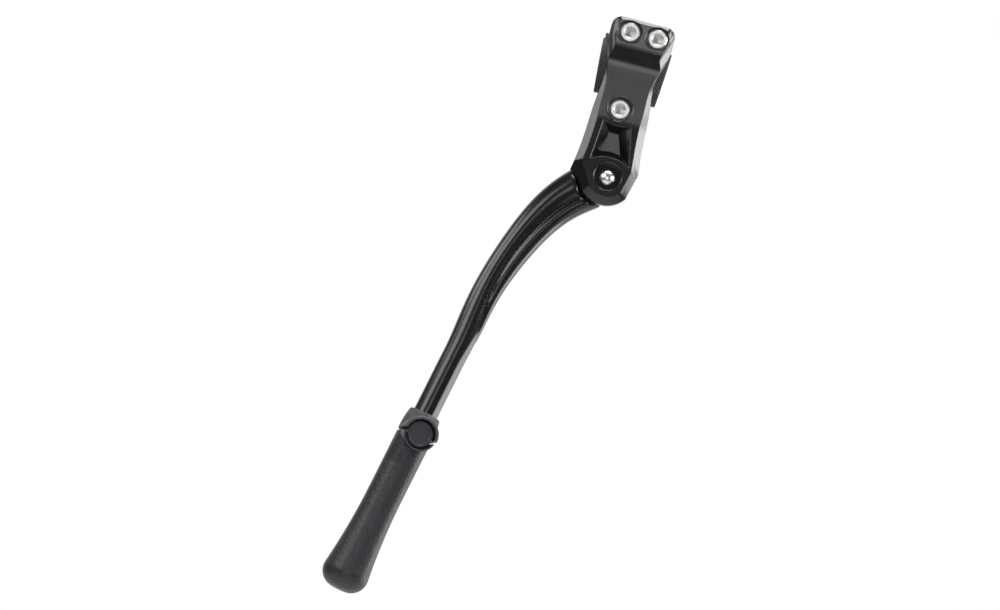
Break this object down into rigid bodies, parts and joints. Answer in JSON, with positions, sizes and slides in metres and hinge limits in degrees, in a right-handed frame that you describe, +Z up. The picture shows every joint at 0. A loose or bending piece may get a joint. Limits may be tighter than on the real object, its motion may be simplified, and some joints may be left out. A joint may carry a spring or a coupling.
{
  "type": "bicycle kickstand",
  "caption": "Rear-stay bicycle kickstand: a bevelled clamp head on a frame tube, a bent swing leg with a detent, and a flared foot that slides on the leg under a push-button latch.",
  "frame": {"origin": "centre of the frame stay in the clamp", "axes": "+Z up along the head, X along the stay, -Y outboard, away from the wheel"},
  "size_m": [0.109, 0.0838, 0.3249],
  "materials": {
    "black_alloy": "gloss black paint on forged aluminium",
    "rubber": "matt ribbed rubber",
    "bright_steel": "bright zinc-plated steel",
    "polished_steel": "polished steel",
    "dark_steel": "blackened steel",
    "bronze": "plain bearing bronze",
    "spring_steel": "drawn spring wire",
    "collar_nylon": "fine satin moulding",
    "foot_nylon": "fine-grained matt moulding",
    "button_nylon": "plain satin moulding"
  },
  "bodies": {
    "head": {"head_body": "black_alloy", "front_pad": "rubber", "rear_pad": "rubber", "rear_jaw": "black_alloy", "upper_clamp_bolts": "bright_steel", "lower_clamp_bolt": "bright_steel", "pivot_pin": "polished_steel", "pin_circlip": "dark_steel", "pin_ring": "dark_steel", "thrust_washer_front": "bronze", "thrust_washer_back": "bronze", "detent_spring": "spring_steel"},
    "plunger": {"detent_plunger": "bright_steel"},
    "swing_leg": {"leg": "black_alloy", "pivot_bush": "bronze"},
    "foot": {"foot_collar": "collar_nylon", "foot_sleeve": "foot_nylon", "button_springs": "spring_steel"},
    "push_button": {"foot_button": "button_nylon", "latch_plate": "bright_steel"}
  },
  "joints": [
    {"name": "leg_swing", "type": "hinge", "parent": "head", "child": "swing_leg", "pos_m": [0.0015, -0.0125, -0.0586], "axis": [0, -0.9848, 0.1736], "range_deg": [0, 105]},
    {"name": "plunger", "type": "slide", "parent": "head", "child": "plunger", "axis": [0, -0.1736, -0.9848], "range_m": [0, 0.0012], "stiffness_N_per_m": 400, "deforming": ["detent_spring"]},
    {"name": "foot_slide", "type": "slide", "parent": "swing_leg", "child": "foot", "axis": [0.2062, 0.1699, 0.9636], "range_m": [-0.02, 0.03]},
    {"name": "button", "type": "slide", "parent": "foot", "child": "push_button", "axis": [-0.2034, 0.9707, -0.1276], "range_m": [-0.0007, 0.0016], "stiffness_N_per_m": 1200, "deforming": ["button_springs"]}
  ]
}
